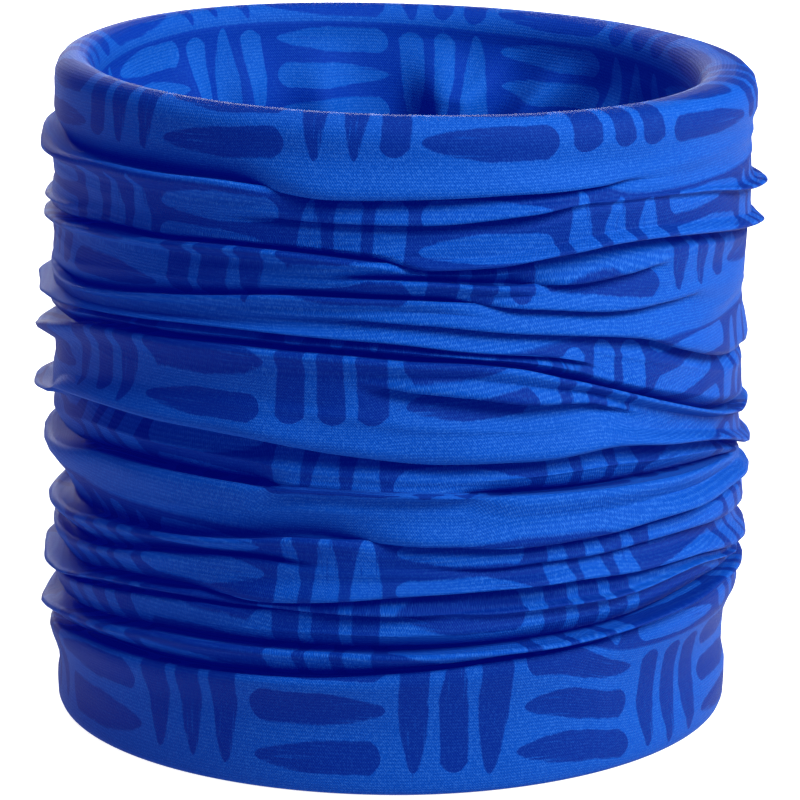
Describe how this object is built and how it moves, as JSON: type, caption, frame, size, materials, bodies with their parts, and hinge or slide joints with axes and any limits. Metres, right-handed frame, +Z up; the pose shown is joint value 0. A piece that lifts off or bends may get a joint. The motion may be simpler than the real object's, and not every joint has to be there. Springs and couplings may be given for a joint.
{
  "type": "neck gaiter",
  "caption": "Seamless knit tube for the neck, standing gathered in sideways folds, its top turned in over a soft rolled rim.",
  "frame": {"origin": "centre of the lower edge, on the surface that the tube stands on", "axes": "+Z up along the tube, -Y the front, +X the wearer's left when it is worn with the front forward"},
  "size_m": [0.16, 0.16, 0.149],
  "materials": {
    "outside_knit": "matt microfibre knit, printed",
    "inside_knit": "matt microfibre knit, printed"
  },
  "bodies": {
    "lower_end": {"lower_band": "outside_knit", "lower_turn_in": "inside_knit"},
    "fold_1": {"gather_1": "outside_knit"},
    "fold_2": {"gather_2": "outside_knit"},
    "fold_3": {"gather_3": "outside_knit"},
    "fold_4": {"gather_4": "outside_knit"},
    "fold_5": {"gather_5": "outside_knit"},
    "fold_6": {"gather_6": "outside_knit"},
    "fold_7": {"gather_7": "outside_knit"},
    "fold_8": {"gather_8": "outside_knit"},
    "collar": {"upper_collar": "outside_knit", "rolled_rim": "outside_knit", "turned_in_layer": "inside_knit"}
  },
  "joints": [
    {"name": "collar_pull_up", "type": "slide", "parent": "lower_end", "child": "collar", "axis": [0, 0, 1], "range_m": [0, 0.07]},
    {"name": "fold_1_opens", "type": "slide", "parent": "lower_end", "child": "fold_1", "axis": [0, 0, 1], "range_m": [0, 0.0036]},
    {"name": "fold_2_opens", "type": "slide", "parent": "lower_end", "child": "fold_2", "axis": [0, 0, 1], "range_m": [0, 0.0113]},
    {"name": "fold_3_opens", "type": "slide", "parent": "lower_end", "child": "fold_3", "axis": [0, 0, 1], "range_m": [0, 0.0197]},
    {"name": "fold_4_opens", "type": "slide", "parent": "lower_end", "child": "fold_4", "axis": [0, 0, 1], "range_m": [0, 0.0281]},
    {"name": "fold_5_opens", "type": "slide", "parent": "lower_end", "child": "fold_5", "axis": [0, 0, 1], "range_m": [0, 0.0379]},
    {"name": "fold_6_opens", "type": "slide", "parent": "lower_end", "child": "fold_6", "axis": [0, 0, 1], "range_m": [0, 0.047]},
    {"name": "fold_7_opens", "type": "slide", "parent": "lower_end", "child": "fold_7", "axis": [0, 0, 1], "range_m": [0, 0.0568]},
    {"name": "fold_8_opens", "type": "slide", "parent": "lower_end", "child": "fold_8", "axis": [0, 0, 1], "range_m": [0, 0.0666]}
  ],
  "couplings": [
    {"joint": "fold_1_opens", "follows": "collar_pull_up", "ratio": 0.05},
    {"joint": "fold_2_opens", "follows": "collar_pull_up", "ratio": 0.16},
    {"joint": "fold_3_opens", "follows": "collar_pull_up", "ratio": 0.28},
    {"joint": "fold_4_opens", "follows": "collar_pull_up", "ratio": 0.4},
    {"joint": "fold_5_opens", "follows": "collar_pull_up", "ratio": 0.54},
    {"joint": "fold_6_opens", "follows": "collar_pull_up", "ratio": 0.67},
    {"joint": "fold_7_opens", "follows": "collar_pull_up", "ratio": 0.81},
    {"joint": "fold_8_opens", "follows": "collar_pull_up", "ratio": 0.95}
  ]
}
